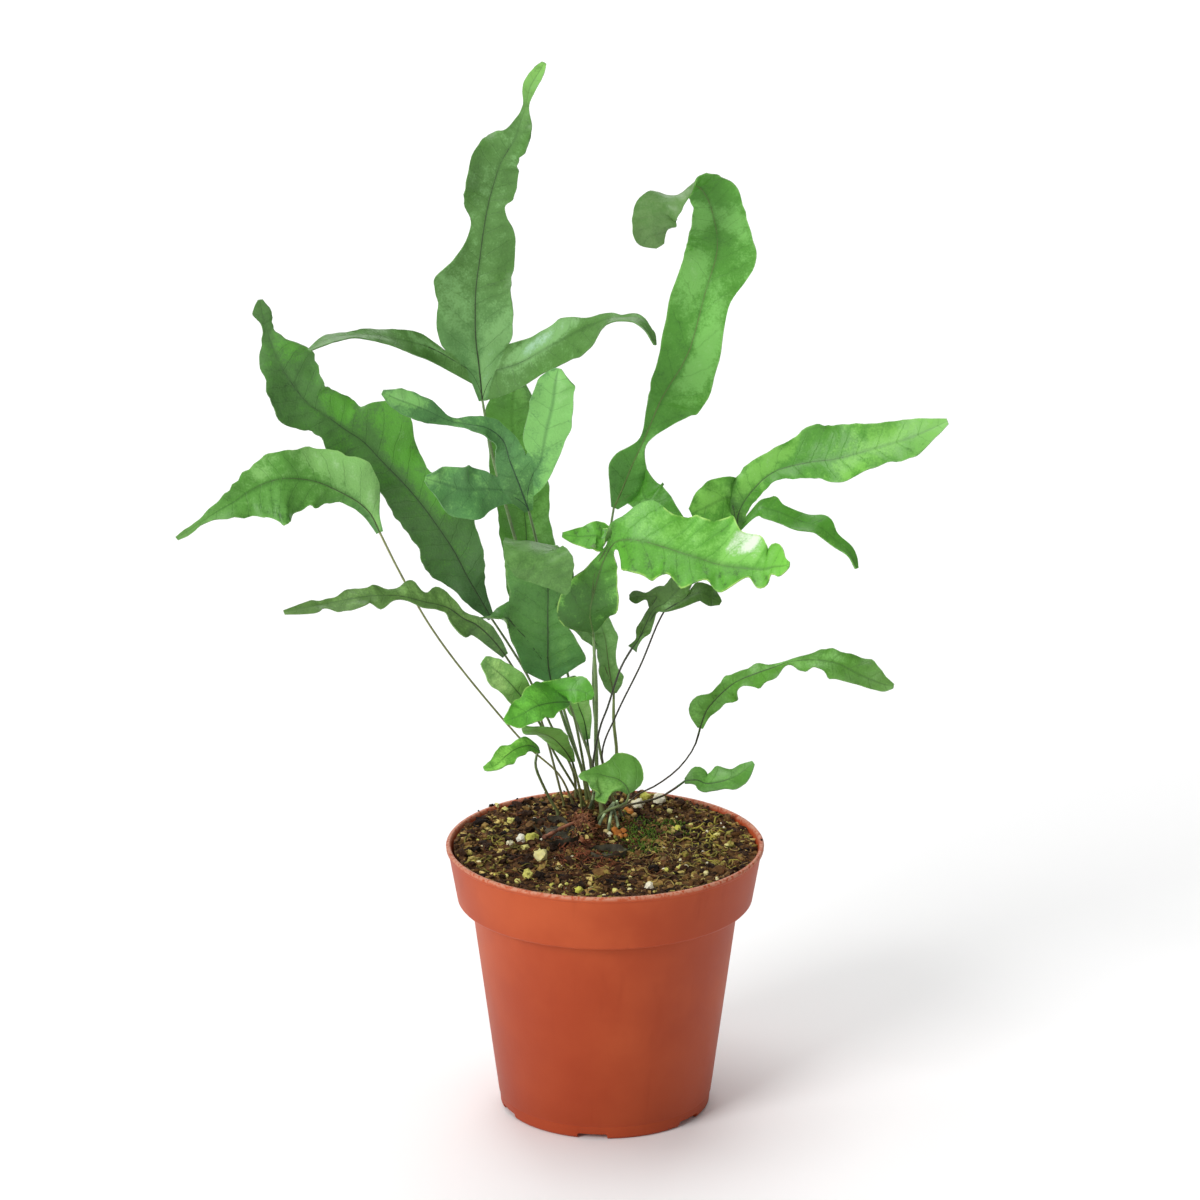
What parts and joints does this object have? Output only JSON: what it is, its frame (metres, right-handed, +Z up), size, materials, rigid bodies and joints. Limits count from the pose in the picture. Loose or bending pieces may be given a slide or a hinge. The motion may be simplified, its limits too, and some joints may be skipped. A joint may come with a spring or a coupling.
{
  "type": "potted blue star fern",
  "caption": "Young blue star fern with wavy, lobed blue-green fronds on thin dark stalks, growing from a creeping rhizome in a soil-filled terracotta-coloured plastic nursery pot.",
  "frame": {"origin": "middle of the pot's foot, on the surface that the pot stands on", "axes": "+Z up, the front of the plant as pictured towards -Y"},
  "size_m": [0.248, 0.1061, 0.3524],
  "materials": {
    "pot": "satin moulded plastic, terracotta orange-brown",
    "soil": "rough, crumbly dark brown",
    "rhizome": "matte, covered with reddish brown scales",
    "leaf_pale": "slightly glossy, bright yellow-green",
    "leaf_mid": "slightly glossy, mid green",
    "leaf_deep": "slightly glossy, deep green",
    "leaf_blue": "slightly glossy, blue-green with a pale bloom"
  },
  "bodies": {
    "root": {"pot": "pot", "soil": "soil", "rhizome": "rhizome", "frond_tall": "leaf_blue", "frond_curled": "leaf_pale", "frond_front": "leaf_pale", "frond_nodding": "leaf_deep", "frond_strap": "leaf_mid", "frond_blue": "leaf_blue", "frond_broad_left": "leaf_mid", "frond_torn_left": "leaf_pale", "frond_narrow_left": "leaf_mid", "frond_low_left": "leaf_pale", "frond_oval": "leaf_pale", "frond_bright": "leaf_pale", "frond_drooping": "leaf_deep", "frond_dark": "leaf_deep", "frond_wavy": "leaf_mid", "frond_branched": "leaf_mid", "frond_right": "leaf_mid", "frond_trailing": "leaf_mid", "frond_rim": "leaf_pale", "frond_broad_low": "leaf_mid"}
  },
  "joints": []
}
